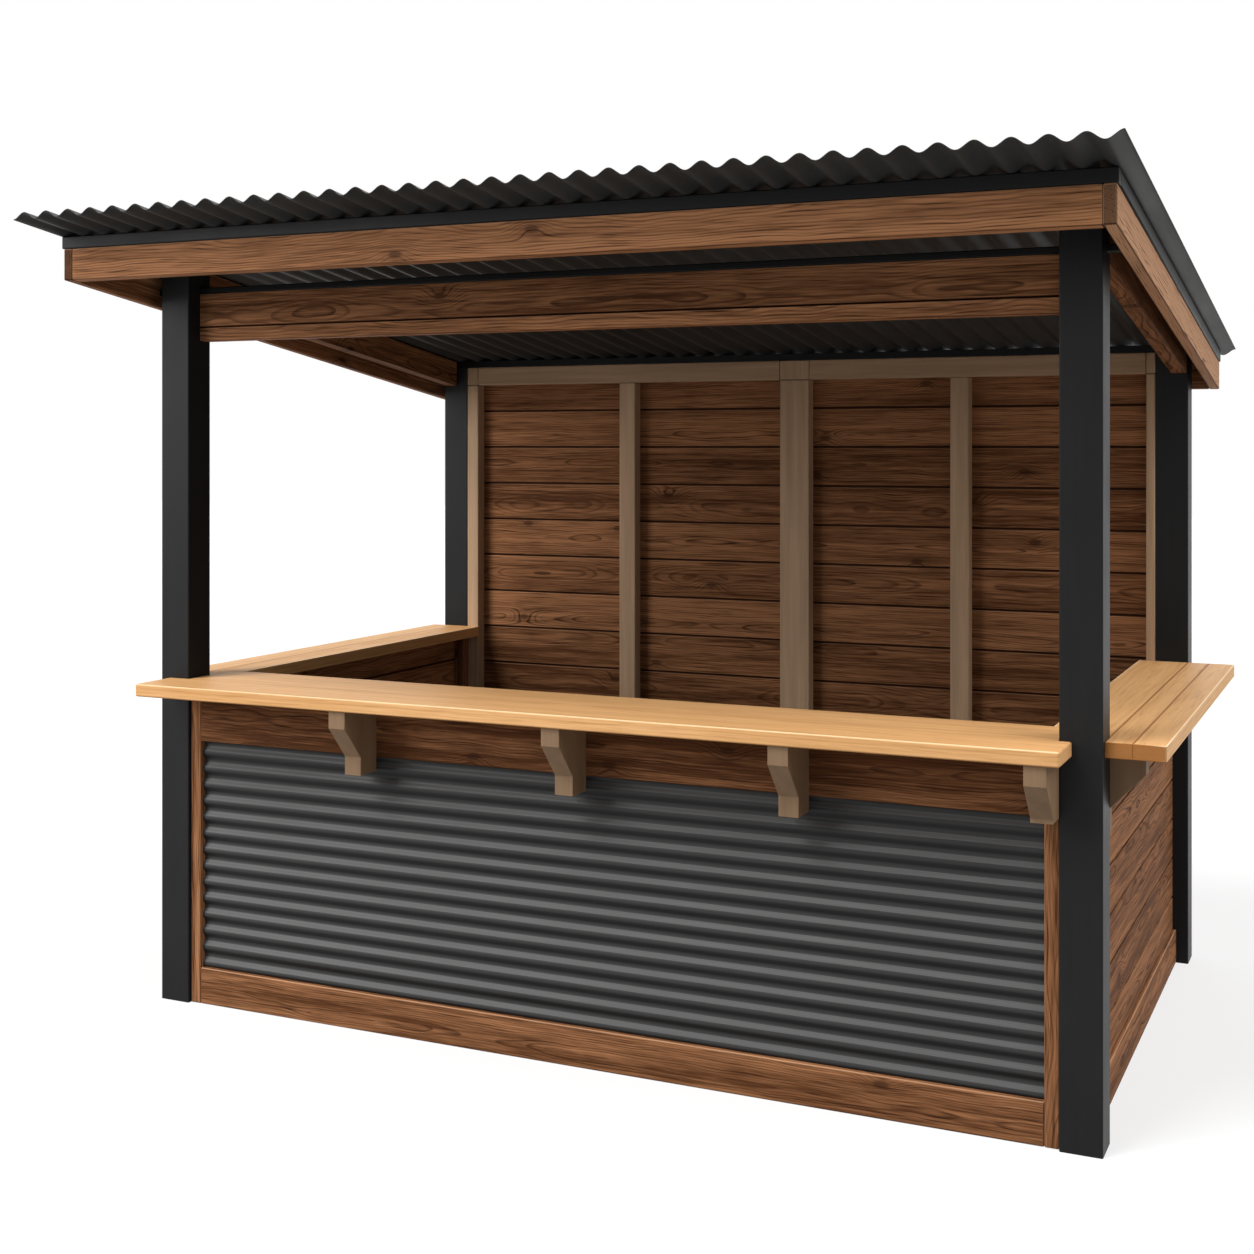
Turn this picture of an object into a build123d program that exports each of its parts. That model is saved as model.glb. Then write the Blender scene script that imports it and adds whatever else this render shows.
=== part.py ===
from build123d import *
import os
from math import asin, cos, radians, sin, tan

os.makedirs("parts", exist_ok=True)

# A three by two metre serving stall: four posts, half walls on three sides, a boarded back wall
# and a corrugated lean-to roof. Millimetres, +Z up, +X to the right, the serving front faces -Y.
# The origin is on the ground, below the middle of the plan.

# Posts and fits
stall_width = 3000.0
stall_depth = 1900.0
post_size = 110.0
post_round = 4.0
seat_clearance = 0.3
cut_overrun = 20.0

# Counters
counter_height = 1050.0
counter_thickness = 40.0
counter_round = 3.0
front_counter_reach = 170.0
front_counter_inset = 226.0
left_horn_length = 74.0
right_horn_length = 33.0
left_counter_reach = 52.0
right_counter_reach = 152.0
side_counter_inset = 165.0
right_counter_setback = 24.0

# Front half wall
rail_setback = 11.0
rail_thickness = 45.0
rail_round = 2.0
bottom_rail_height = 116.0
top_rail_height = 162.0
stile_width = 40.0
panel_lip = 12.0
panel_rebate = 15.0
panel_gauge = 3.0
panel_wave_pitch = 52.5
panel_wave_depth = 13.0

# Counter brackets
bracket_width = 58.0
bracket_round = 2.0
bracket_reach = 160.0
bracket_height = 205.0
end_bracket_height = 160.0
bracket_nose = 52.0
bracket_leg = 85.0
bracket_soffit_drop = 149.0
left_bracket_x = -707.0
middle_bracket_x = 10.0
right_bracket_x = 687.0
left_side_bracket_reach = 92.0
right_side_bracket_reach = 142.0
side_bracket_leg = 48.0

# Side half walls
side_wall_inset = 52.0
side_board_thickness = 20.0
kick_board_height = 116.0
kick_board_thickness = 12.0
wall_batten_size = 45.0

# Back wall
stud_depth = 55.0
left_corner_stud_width = 52.0
right_corner_stud_width = 32.0
middle_stud_width = 70.0
left_middle_stud_x = -652.0
right_middle_stud_x = 695.0
centre_stud_width = 118.0
centre_stud_offset = 55.0
stud_round = 2.0
rear_purlin_height = 25.0
back_plate_height = 75.0
back_sole_height = 75.0
back_board_thickness = 20.0

# Header between the front posts
header_setback = 56.0
header_bottom = 2146.0
header_height = 154.0
header_groove_height = 45.0
header_groove_width = 5.0
header_groove_depth = 4.0
cap_strip_height = 20.0

# Roof
roof_angle = 7.8
fascia_reach = 349.0
fascia_rise = 17.0
fascia_height = 97.0
fascia_thickness = 33.0
rake_overhang = 89.0
trim_height = 37.0
trim_proud = 4.0
side_beam_thickness = 55.0
side_beam_height = 100.0
side_beam_setback = 5.0
sheet_gauge = 3.0
sheet_wave_pitch = 84.0
sheet_wave_depth = 22.0
sheet_front_overhang = 205.0
sheet_rear_overhang = 75.0
sheet_left_overhang = 4.0
sheet_right_overhang = 48.0

# Main planes
sheet_run = sheet_front_overhang + fascia_reach + stall_depth + fascia_thickness + sheet_rear_overhang
sheet_front_y = -sheet_run / 2
fascia_y = sheet_front_y + sheet_front_overhang
front_y = fascia_y + fascia_reach
rear_y = front_y + stall_depth
front_post_back_y = front_y + post_size
rear_post_front_y = rear_y - post_size
roof_end_y = rear_y + fascia_thickness
post_outer_x = stall_width / 2
post_inner_x = post_outer_x - post_size
rake_outer_x = post_outer_x + rake_overhang
rake_inner_x = rake_outer_x - fascia_thickness
counter_underside = counter_height - counter_thickness
header_top = header_bottom + header_height
fascia_bottom = header_top + fascia_rise
bearing_at_fascia = fascia_bottom + fascia_height + trim_height
slope_direction = (0, cos(radians(roof_angle)), -sin(radians(roof_angle)))
sides = (("left", -1), ("right", 1))
left_counter_outer_x = post_outer_x + left_counter_reach
right_counter_outer_x = post_outer_x + right_counter_reach
sheet_left_x = -rake_outer_x - sheet_left_overhang
sheet_right_x = rake_outer_x + sheet_right_overhang
trim_outer_x = rake_outer_x + trim_proud
left_edge_x = min(sheet_left_x, -trim_outer_x, -left_counter_outer_x)
right_edge_x = max(sheet_right_x, trim_outer_x, right_counter_outer_x)
plan_middle_x = (left_edge_x + right_edge_x) / 2


def bearing(y):
    """Height of the sloping plane that the roof sheet rests on."""
    return bearing_at_fascia - (y - fascia_y) * tan(radians(roof_angle))


def save(piece, name):
    """Set a finished piece about the middle of the plan, label it and write it as one file."""
    placed = piece.part.moved(Location((-plan_middle_x, 0, 0)))
    placed.label = name
    export_step(placed, f"parts/{name}.step")


def ordered(side, inner, outer):
    """The x range between two distances from the middle, on the left or the right side."""
    return min(side * inner, side * outer), max(side * inner, side * outer)


def rectangle_between(x_range, y_range):
    """A rectangle in the current sketch, given by its two ranges."""
    with Locations((sum(x_range) / 2, sum(y_range) / 2)):
        Rectangle(x_range[1] - x_range[0], y_range[1] - y_range[0])


def board(name, x_range, y_range, z_range, grain_axis=None, arris=0):
    """A square-cut board between three ranges, its long edges eased where an arris is given."""
    with BuildPart() as piece:
        with BuildSketch(Plane.XY.offset(z_range[0])):
            rectangle_between(x_range, y_range)
        extrude(amount=z_range[1] - z_range[0])
        if arris:
            fillet(piece.edges().filter_by(grain_axis), radius=arris)
    save(piece, name)


def bar_across(name, x_range, outline):
    """A bar that runs from left to right, its outline given as y and z points."""
    with BuildPart() as piece:
        with BuildSketch(Plane.YZ.offset(x_range[0])):
            with BuildLine():
                Polyline(*outline, close=True)
            make_face()
        extrude(amount=x_range[1] - x_range[0])
    save(piece, name)


def bar_down_slope(name, x_range, y_range, drop_to_top, height):
    """A bar that runs down the roof slope with plumb ends, below the bearing plane."""
    top = bearing(y_range[0]) - drop_to_top
    start = Plane(origin=(0, y_range[0], 0), x_dir=(1, 0, 0), z_dir=(0, -1, 0))
    with BuildPart() as piece:
        with BuildSketch(start):
            rectangle_between(x_range, (top - height, top))
        extrude(amount=(y_range[1] - y_range[0]) / slope_direction[1], dir=slope_direction)
    save(piece, name)


def wave_line(length, half_waves, swing, lift):
    """One face of a corrugated sheet: equal arcs from valley to crest, the first end in a valley."""
    half_wave = length / half_waves
    radius = ((half_wave / 2) ** 2 + swing**2) / (2 * swing)
    turn = asin(half_wave / 2 / radius)
    shoulder_run = radius * sin(turn / 2)
    shoulder_rise = radius * (1 - cos(turn / 2))
    last = 1 if half_waves % 2 else -1
    ThreePointArc((0, lift - swing), (shoulder_run, lift - swing + shoulder_rise), (half_wave / 2, lift))
    for count in range(1, half_waves):
        middle = half_wave * count
        crest = swing if count % 2 else -swing
        ThreePointArc((middle - half_wave / 2, lift), (middle, lift + crest), (middle + half_wave / 2, lift))
    ThreePointArc(
        (length - half_wave / 2, lift),
        (length - shoulder_run, lift + last * (swing - shoulder_rise)),
        (length, lift + last * swing),
    )


def corrugated_outline(length, half_waves, depth, gauge):
    """The closed section of a corrugated sheet, centred on its middle line."""
    swing = (depth - gauge) / 2
    last = swing if half_waves % 2 else -swing
    wave_line(length, half_waves, swing, -gauge / 2)
    wave_line(length, half_waves, swing, gauge / 2)
    Line((0, -swing - gauge / 2), (0, -swing + gauge / 2))
    Line((length, last - gauge / 2), (length, last + gauge / 2))


# Corner posts: rounded arrises and a sloping top under the sheet. The front pair is housed for the
# cap strip of the header, the rear pair is rebated for the rear purlin.
def corner_post(name, side, post_front_y, housing_y, housing_z):
    post_x = ordered(side, post_inner_x, post_outer_x)
    cut_x = (post_x[0] - cut_overrun, post_x[1] + cut_overrun)
    post_back_y = post_front_y + post_size
    above = bearing(post_front_y) + cut_overrun
    top_cut = (
        (post_front_y - cut_overrun, bearing(post_front_y - cut_overrun)),
        (post_back_y + cut_overrun, bearing(post_back_y + cut_overrun)),
        (post_back_y + cut_overrun, above + cut_overrun),
        (post_front_y - cut_overrun, above + cut_overrun),
    )
    with BuildPart() as post:
        with BuildSketch():
            with Locations((sum(post_x) / 2, post_front_y + post_size / 2)):
                RectangleRounded(post_size, post_size, post_round)
        extrude(amount=above)
        with BuildSketch(Plane.YZ.offset(cut_x[0])):
            with BuildLine():
                Polyline(*top_cut, close=True)
            make_face()
        extrude(amount=cut_x[1] - cut_x[0], mode=Mode.SUBTRACT)
        with BuildSketch(Plane.YZ.offset(cut_x[0])):
            rectangle_between(housing_y, housing_z)
        extrude(amount=cut_x[1] - cut_x[0], mode=Mode.SUBTRACT)
    save(post, name)


header_y = front_y + header_setback
cap_top = header_top + cap_strip_height
stud_back_y = rear_post_front_y + stud_depth
back_plate_top = bearing(rear_post_front_y) - rear_purlin_height

for side_name, side in sides:
    corner_post(
        f"front_{side_name}_post",
        side,
        front_y,
        (header_y, front_post_back_y + cut_overrun),
        (header_top, cap_top),
    )
    corner_post(
        f"rear_{side_name}_post",
        side,
        rear_post_front_y,
        (rear_post_front_y - cut_overrun, stud_back_y),
        (back_plate_top, bearing(rear_post_front_y) + cut_overrun),
    )

# Front counter: one plank notched round both front posts, with a short horn in front of each.
counter_front_y = front_y - front_counter_reach
counter_back_y = front_y + front_counter_inset
with BuildPart() as front_counter:
    with BuildSketch(Plane.XY.offset(counter_underside)):
        rectangle_between((-post_inner_x, post_inner_x), (counter_front_y, counter_back_y))
        rectangle_between((-post_inner_x - left_horn_length, 0), (counter_front_y, front_y))
        rectangle_between((0, post_inner_x + right_horn_length), (counter_front_y, front_y))
    extrude(amount=counter_thickness)
    front_edges = front_counter.faces().sort_by(Axis.Y)[0].edges()
    fillet(front_edges.filter_by(Axis.X), radius=counter_round)
save(front_counter, "front_counter")

# Side counters: each starts behind its front post, butts the front counter inside it and stops against
# the rear post and the corner stud. The right one is wider and also passes outside its front post.
side_counter_inner_x = post_outer_x - side_counter_inset
side_counters = (("left", -1, left_counter_outer_x), ("right", 1, right_counter_outer_x))
for side_name, side, outer_x in side_counters:
    with BuildPart() as side_counter:
        with BuildSketch(Plane.XY.offset(counter_underside)):
            rectangle_between(ordered(side, post_inner_x, outer_x), (front_post_back_y, rear_post_front_y))
            rectangle_between(
                ordered(side, side_counter_inner_x, post_inner_x),
                (counter_back_y, rear_post_front_y),
            )
            if side > 0:
                rectangle_between(
                    (post_outer_x, outer_x),
                    (front_y + right_counter_setback, front_post_back_y),
                )
        extrude(amount=counter_thickness)
        outer_face = side_counter.faces().sort_by(Axis.X)[0 if side < 0 else -1]
        fillet(outer_face.edges().filter_by(Axis.Y), radius=counter_round)
    save(side_counter, f"{side_name}_counter")

# Front half wall: two stiles and two rails round a pocket that takes the edge of the panel.
rail_y = front_y + rail_setback
rail_back_y = rail_y + rail_thickness
stile_inner_x = post_inner_x - stile_width
top_rail_bottom = counter_underside - top_rail_height
pocket_x = (-stile_inner_x - panel_rebate, stile_inner_x + panel_rebate)
pocket_y = (rail_y + panel_lip, rail_back_y + cut_overrun)
pocket_z = (bottom_rail_height - panel_rebate, top_rail_bottom + panel_rebate)


def rebated_member(name, x_range, z_range, grain_axis):
    """A stile or rail of the front frame, rebated from behind for the panel."""
    with BuildPart() as member:
        with BuildSketch(Plane.XY.offset(z_range[0])):
            rectangle_between(x_range, (rail_y, rail_back_y))
        extrude(amount=z_range[1] - z_range[0])
        front_face = member.faces().sort_by(Axis.Y)[0]
        fillet(front_face.edges().filter_by(grain_axis), radius=rail_round)
        with BuildSketch(Plane.XY.offset(pocket_z[0])):
            rectangle_between(pocket_x, pocket_y)
        extrude(amount=pocket_z[1] - pocket_z[0], mode=Mode.SUBTRACT)
    save(member, name)


rail_x = (-stile_inner_x, stile_inner_x)
rebated_member("front_bottom_rail", rail_x, (0, bottom_rail_height), Axis.X)
rebated_member("front_top_rail", rail_x, (top_rail_bottom, counter_underside), Axis.X)
for side_name, side in sides:
    stile_x = ordered(side, stile_inner_x, post_inner_x)
    rebated_member(f"front_{side_name}_stile", stile_x, (0, counter_underside), Axis.Z)

# Corrugated panel: its waves lie level, and its edges stand in the pocket of the frame.
panel_height = pocket_z[1] - pocket_z[0] - 2 * seat_clearance
panel_half_waves = round(2 * panel_height / panel_wave_pitch)
panel_plane = Plane(
    origin=(
        pocket_x[0] + seat_clearance,
        pocket_y[0] + seat_clearance + panel_wave_depth / 2,
        pocket_z[0] + seat_clearance,
    ),
    x_dir=(0, 0, 1),
    z_dir=(1, 0, 0),
)
with BuildPart() as front_panel:
    with BuildSketch(panel_plane):
        with BuildLine():
            corrugated_outline(panel_height, panel_half_waves, panel_wave_depth, panel_gauge)
        make_face()
    extrude(amount=pocket_x[1] - pocket_x[0] - 2 * seat_clearance)
save(front_panel, "front_corrugated_panel")


# Counter brackets: a square nose, a raking soffit and a short leg, cut from one plank. The last one of the
# front, against the right post, is cut off shorter below its soffit.
def bracket(name, plane, reach, leg, height):
    """One bracket, sketched with its back on the plane's upright axis and its top at the counter."""
    outline = (
        (0, counter_underside),
        (reach, counter_underside),
        (reach, counter_underside - bracket_nose),
        (leg, counter_underside - bracket_soffit_drop),
        (leg, counter_underside - height),
        (0, counter_underside - height),
    )
    with BuildPart() as piece:
        with BuildSketch(plane):
            with BuildLine():
                Polyline(*outline, close=True)
            make_face()
        extrude(amount=bracket_width)
        plank_faces = piece.faces().sort_by(SortBy.AREA)[-2:]
        long_edges = plank_faces.edges().filter_by(lambda edge: edge.length > bracket_width / 2)
        shown_edges = long_edges.filter_by(lambda edge: edge not in back_edges(piece, plane))
        fillet(shown_edges, radius=bracket_round)
    save(piece, name)


def back_edges(piece, plane):
    """The edges of a bracket that lie against the wall or under the counter."""
    wall_face = piece.faces().sort_by(Axis(plane.origin, plane.x_dir))[0]
    counter_face = piece.faces().sort_by(Axis.Z)[-1]
    return wall_face.edges() + counter_face.edges()


front_brackets = (
    (left_bracket_x - bracket_width / 2, bracket_height),
    (middle_bracket_x - bracket_width / 2, bracket_height),
    (right_bracket_x - bracket_width / 2, bracket_height),
    (post_inner_x - bracket_width, end_bracket_height),
)
front_reach = front_y + rail_setback - (front_y - bracket_reach)
for count, (start_x, height) in enumerate(front_brackets, start=1):
    start_plane = Plane(origin=(start_x + bracket_width, rail_y, 0), x_dir=(0, -1, 0), z_dir=(-1, 0, 0))
    bracket(f"front_bracket_{count}", start_plane, front_reach, bracket_leg, height)

side_wall_x = post_outer_x - side_wall_inset
side_brackets = (
    ("left", -1, front_post_back_y, left_side_bracket_reach),
    ("right", 1, front_post_back_y + bracket_width, right_side_bracket_reach),
)
for side_name, side, start_y, reach in side_brackets:
    start_plane = Plane(origin=(side * side_wall_x, start_y, 0), x_dir=(side, 0, 0), z_dir=(0, -side, 0))
    bracket(f"{side_name}_side_bracket", start_plane, reach, side_bracket_leg, bracket_height)

# Side half walls: boarding between the posts, a kick board outside and a batten inside.
side_wall_y = (front_post_back_y, rear_post_front_y)
boarding_inner_x = side_wall_x - side_board_thickness
for side_name, side in sides:
    boarding_x = ordered(side, boarding_inner_x, side_wall_x)
    kick_x = ordered(side, side_wall_x, side_wall_x + kick_board_thickness)
    batten_x = ordered(side, boarding_inner_x - wall_batten_size, boarding_inner_x)
    batten_y = (rear_post_front_y - wall_batten_size, rear_post_front_y)
    board(f"{side_name}_side_boards", boarding_x, side_wall_y, (0, counter_underside))
    board(f"{side_name}_kick_board", kick_x, side_wall_y, (0, kick_board_height))
    board(f"{side_name}_wall_batten", batten_x, batten_y, (0, counter_underside))

# Back wall: studs between a sole and a top plate, boarded on the outside.
stud_y = (rear_post_front_y, stud_back_y)
stud_z = (back_sole_height, back_plate_top - back_plate_height)
plate_z = (back_plate_top - back_plate_height, back_plate_top)
left_corner_x = (-post_inner_x, -post_inner_x + left_corner_stud_width)
right_corner_x = (post_inner_x - right_corner_stud_width, post_inner_x)
board("back_sole_plate", (-post_inner_x, post_inner_x), stud_y, (0, back_sole_height))
board(
    "back_boards",
    (-post_inner_x, post_inner_x),
    (stud_back_y, stud_back_y + back_board_thickness),
    (0, back_plate_top),
)
centre_stud_x = (centre_stud_offset - centre_stud_width / 2, centre_stud_offset + centre_stud_width / 2)
back_frame = (
    ("left", left_corner_x, left_middle_stud_x, (left_corner_x[1], centre_stud_x[0])),
    ("right", right_corner_x, right_middle_stud_x, (centre_stud_x[1], right_corner_x[0])),
)
board("back_centre_stud", centre_stud_x, stud_y, stud_z, Axis.Z, stud_round)
for side_name, corner_x, middle, plate_x in back_frame:
    middle_x = (middle - middle_stud_width / 2, middle + middle_stud_width / 2)
    board(f"back_{side_name}_corner_stud", corner_x, stud_y, stud_z, Axis.Z, stud_round)
    board(f"back_{side_name}_middle_stud", middle_x, stud_y, stud_z, Axis.Z, stud_round)
    board(f"back_{side_name}_top_plate", plate_x, stud_y, plate_z, Axis.X, stud_round)

with BuildPart() as plate_blocks:
    with BuildSketch(Plane.XY.offset(plate_z[0])):
        rectangle_between(centre_stud_x, stud_y)
        rectangle_between(left_corner_x, stud_y)
        rectangle_between(right_corner_x, stud_y)
    extrude(amount=back_plate_height)
save(plate_blocks, "back_plate_blocks")

# Header: a beam between the front posts with a bead groove, and a cap strip that runs on to the rakes.
groove_z = header_bottom + header_groove_height
bar_across(
    "header_beam",
    (-post_inner_x, post_inner_x),
    (
        (header_y, header_bottom),
        (front_post_back_y, header_bottom),
        (front_post_back_y, header_top),
        (header_y, header_top),
        (header_y, groove_z + header_groove_width / 2),
        (header_y + header_groove_depth, groove_z),
        (header_y, groove_z - header_groove_width / 2),
    ),
)
board("header_cap_strip", (-rake_inner_x, rake_inner_x), (header_y, front_post_back_y), (header_top, cap_top))

# Rear purlin: lies on the plate and in the rebates of the rear posts, and runs from rake to rake.
bar_across(
    "rear_purlin",
    (-rake_inner_x, rake_inner_x),
    (
        (rear_post_front_y, back_plate_top),
        (stud_back_y, back_plate_top),
        (stud_back_y, bearing(stud_back_y)),
        (rear_post_front_y, bearing(rear_post_front_y)),
    ),
)


# Fascias stand between the rakes, and the trim runs round the top of all four boards.
def eave_outline(y_range, bottom, drop_to_top):
    """A plumb board with its top edge bevelled to the roof slope, below the bearing plane."""
    return (
        (y_range[0], bottom),
        (y_range[1], bottom),
        (y_range[1], bearing(y_range[1]) - drop_to_top),
        (y_range[0], bearing(y_range[0]) - drop_to_top),
    )


def trim_outline(y_range):
    """A strip that follows the slope on top of a fascia."""
    return (
        (y_range[0], bearing(y_range[0]) - trim_height),
        (y_range[1], bearing(y_range[1]) - trim_height),
        (y_range[1], bearing(y_range[1])),
        (y_range[0], bearing(y_range[0])),
    )


fascia_back_y = fascia_y + fascia_thickness
fascia_x = (-rake_inner_x, rake_inner_x)
rear_fascia_bottom = bearing(roof_end_y) - trim_height - fascia_height
bar_across("front_fascia", fascia_x, eave_outline((fascia_y, fascia_back_y), fascia_bottom, trim_height))
bar_across("rear_fascia", fascia_x, eave_outline((rear_y, roof_end_y), rear_fascia_bottom, trim_height))
trim_across_x = (-trim_outer_x, trim_outer_x)
bar_across("front_roof_trim", trim_across_x, trim_outline((fascia_y - trim_proud, fascia_back_y)))
bar_across("rear_roof_trim", trim_across_x, trim_outline((rear_y, roof_end_y + trim_proud)))
for side_name, side in sides:
    rake_x = ordered(side, rake_inner_x, rake_outer_x)
    trim_x = ordered(side, rake_inner_x, trim_outer_x)
    beam_outer_x = post_outer_x - side_beam_setback
    beam_x = ordered(side, beam_outer_x - side_beam_thickness, beam_outer_x)
    bar_down_slope(f"{side_name}_rake_board", rake_x, (fascia_y, roof_end_y), trim_height, fascia_height)
    bar_down_slope(f"{side_name}_roof_trim", trim_x, (fascia_back_y, rear_y), 0, trim_height)
    bar_down_slope(f"{side_name}_side_beam", beam_x, side_wall_y, 0, side_beam_height)

# Roof sheet: waves run down the slope, one edge ends in a valley and the other on a crest.
sheet_width = sheet_right_x - sheet_left_x
sheet_half_waves = 2 * int(sheet_width / sheet_wave_pitch) + 1
sheet_middle_z = bearing(sheet_front_y) + seat_clearance + sheet_wave_depth / 2
sheet_plane = Plane(
    origin=(sheet_left_x, sheet_front_y, sheet_middle_z),
    x_dir=(1, 0, 0),
    z_dir=(0, -1, 0),
)
with BuildPart() as roof_sheet:
    with BuildSketch(sheet_plane):
        with BuildLine():
            corrugated_outline(sheet_width, sheet_half_waves, sheet_wave_depth, sheet_gauge)
        make_face()
    extrude(amount=sheet_run / slope_direction[1], dir=slope_direction)
save(roof_sheet, "roof_sheet")
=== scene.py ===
"""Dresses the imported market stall: timbers, boards, counters, corrugated sheets, finishes and a studio."""

from collections import namedtuple
from math import pi, radians

import bpy
import numpy as np
from bpy.props import FloatProperty, FloatVectorProperty, IntProperty, PointerProperty
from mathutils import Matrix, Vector


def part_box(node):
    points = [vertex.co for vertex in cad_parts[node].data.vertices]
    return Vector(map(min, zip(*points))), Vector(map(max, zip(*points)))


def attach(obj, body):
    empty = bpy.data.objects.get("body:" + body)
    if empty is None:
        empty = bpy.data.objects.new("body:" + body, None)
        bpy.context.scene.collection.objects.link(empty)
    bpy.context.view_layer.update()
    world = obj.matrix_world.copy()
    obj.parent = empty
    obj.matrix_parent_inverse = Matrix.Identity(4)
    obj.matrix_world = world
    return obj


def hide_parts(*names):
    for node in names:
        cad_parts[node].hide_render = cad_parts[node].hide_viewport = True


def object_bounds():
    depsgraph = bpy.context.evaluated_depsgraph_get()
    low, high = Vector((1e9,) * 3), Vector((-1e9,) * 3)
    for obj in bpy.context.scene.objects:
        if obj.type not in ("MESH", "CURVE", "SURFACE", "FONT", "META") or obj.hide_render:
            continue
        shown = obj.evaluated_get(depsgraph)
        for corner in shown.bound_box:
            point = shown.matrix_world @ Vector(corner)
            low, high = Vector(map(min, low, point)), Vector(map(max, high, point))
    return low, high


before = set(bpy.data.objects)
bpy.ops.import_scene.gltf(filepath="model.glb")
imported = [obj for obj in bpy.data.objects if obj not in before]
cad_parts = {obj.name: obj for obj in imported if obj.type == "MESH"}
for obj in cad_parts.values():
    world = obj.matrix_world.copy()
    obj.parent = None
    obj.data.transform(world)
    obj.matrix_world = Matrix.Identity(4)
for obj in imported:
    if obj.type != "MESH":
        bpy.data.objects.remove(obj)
CAD_BOX = [list(corner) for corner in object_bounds()]

bl_info = {
    "name": "Market stall dresser",
    "version": (1, 0, 0),
    "blender": (4, 5, 0),
    "location": "View3D > Sidebar > Stall",
    "description": "Builds the timbers, boards, counters, sheets and finishes of a timber market stall",
    "category": "Object",
}

BODY = "root"
SIDES = (("left", -1), ("right", 1))
Lie = namedtuple("Lie", "axis falls plumb_foot tone rift", defaults=(False, False, None, 0.0))
Timber = namedtuple(
    "Timber", "stem ring_pitch pith_depth sway knot_rarity roughness tone_share end_share figure"
)
Coat = namedtuple("Coat", "shade lift roughness grain_axis bump sheen rubbed backing", defaults=(None, None))

# Grid densities and proportions of the surfaces
ARRIS_STEPS = 3
OUTLINE_STEPS = 4
WAVE_STEPS = 14
SHEET_STATIONS = 2
END_SHARE = 0.35
ARRIS_LIMIT_SHARE = 0.45
SEAM_REACH = 1.1
LEAST_BOARD_SHARE = 0.4
SHARP_ANGLE = radians(50)

# Logs that the bars are cut from, in metres
LOG_LENGTH = 60.0
LOG_SIDE = 0.05
PITH_DISTANCES = (0.02, 0.085)

# Tone of the hidden tongues, painted nearly black as shade in the joints, and share of painted edge light on
# boards indoors and outdoors
SHADED = -3.0
INNER_EDGE_LIGHT = 0.22
OUTER_EDGE_LIGHT = -0.55

# Walnut stain on softwood with clear rings and knots, and oiled oak, pale and straight-grained
TIMBERS = {
    "brown_timber": Timber(
        stem="walnut",
        ring_pitch=0.0064,
        pith_depth=0.0,
        sway=0.060,
        knot_rarity=0.78,
        roughness=0.66,
        tone_share=0.26,
        end_share=0.74,
        figure=1.0,
    ),
    "oak_counter": Timber(
        stem="oak",
        ring_pitch=0.0085,
        pith_depth=0.11,
        sway=0.010,
        knot_rarity=0.97,
        roughness=0.48,
        tone_share=0.12,
        end_share=0.92,
        figure=0.55,
    ),
}

# Noise of the timbers, in waves to the metre along the grain and across it
WANDER_WAVES = (2.2, 2.5)
RIPPLE_WAVES = (3.0, 26.0)
FIBRE_WAVES = (5.0, 115.0)
STREAK_WAVES = (0.9, 24.0)
PORE_WAVES = (6.0, 180.0)
BRUSHED_FIBRE_WAVES = (6.0, 180.0)
BRUSHED_STREAK_WAVES = (1.4, 30.0)
BRACKET_TONE_WAVES = 2.0

# Knots to the metre along and across, how they push the rings aside, and the reach of their hearts
KNOT_SPREAD = (2.4, 5.0)
KNOT_BULGE = 0.024
KNOT_FADE = -45.0
KNOT_HEART = (0.03, 0.075)

# Where late wood darkens and stops within a ring, and which noise shows as pores
LATE_WOOD = (0.42, 0.88)
RING_END = (0.90, 1.0)
PORE_NOISE = (0.50, 0.68)

# Widths of end cuts and of eased edges on the surface, in metres
END_CUT = (0.0012, 0.003)
EASED_EDGE = (0.0015, 0.0050)
PAINTED_END = (0.0012, 0.0036)
PAINTED_EDGE = (0.001, 0.004)

# Satin coats, drawn out up the posts, along the trim, down the roof sheet and along the front panel
COATS = {
    "black_post": Coat("charcoal", lift=1.9, roughness=0.46, grain_axis=2, bump=0.25, sheen=0.13),
    "black_trim": Coat("trim_black", lift=1.8, roughness=0.42, grain_axis=0, bump=0.12, sheen=0.10),
    "roof_sheet": Coat(
        "roof_black", lift=1.8, roughness=0.46, grain_axis=1, bump=0.08, sheen=0.08, backing="roof_backing"
    ),
    # The panel's highlight colour is painted on the upward band of each wave as a highlight
    "panel_sheet": Coat(
        "panel_black", lift=1.5, roughness=0.40, grain_axis=0, bump=0.08, sheen=0.12, rubbed="panel_grey"
    ),
}

# Noise of the coats, in waves to the metre
MOTTLE_WAVES = 3.0
BRUSH_WAVES = (3.0, 60.0)
PEEL_WAVES = 420.0

# Painted highlight bands of the front panel's waves: how they waver, and where shoulder, band and hollow
# start
BAND_WAVER = 0.24
BAND_SHOULDER = (-0.9, -0.3)
BAND_EDGE = (0.66, 0.71)
BAND_HOLLOW = (0.78, 0.92)

# Studio
FLOOR_REACH = 40.0
SENSOR_WIDTH = 36.0


# Readings from the frame
def box(node):
    """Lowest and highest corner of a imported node, as arrays in metres."""
    low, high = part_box(node)
    return np.array(low), np.array(high)


def roof_fall():
    """Fall of the roof for each metre of depth: the drop of the sheet's crests over its length."""
    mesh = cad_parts["roof_sheet"].data
    points = np.empty(3 * len(mesh.vertices), np.float32)
    mesh.vertices.foreach_get("co", points)
    points = points.reshape(-1, 3)
    near, far = points[:, 1].min(), points[:, 1].max()
    middle = (near + far) / 2
    crest_near = points[points[:, 1] < middle, 2].max()
    crest_far = points[points[:, 1] > middle, 2].max()
    return float((crest_near - crest_far) / (far - near))


FALL = roof_fall()


# Properties
def length(name, description, default):
    """A size in metres for a property group."""
    return FloatProperty(
        name=name, description=description, default=default, min=0.0, unit="LENGTH", precision=4
    )


def number(name, description, default):
    """A plain number for a property group."""
    return FloatProperty(name=name, description=description, default=default)


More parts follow.
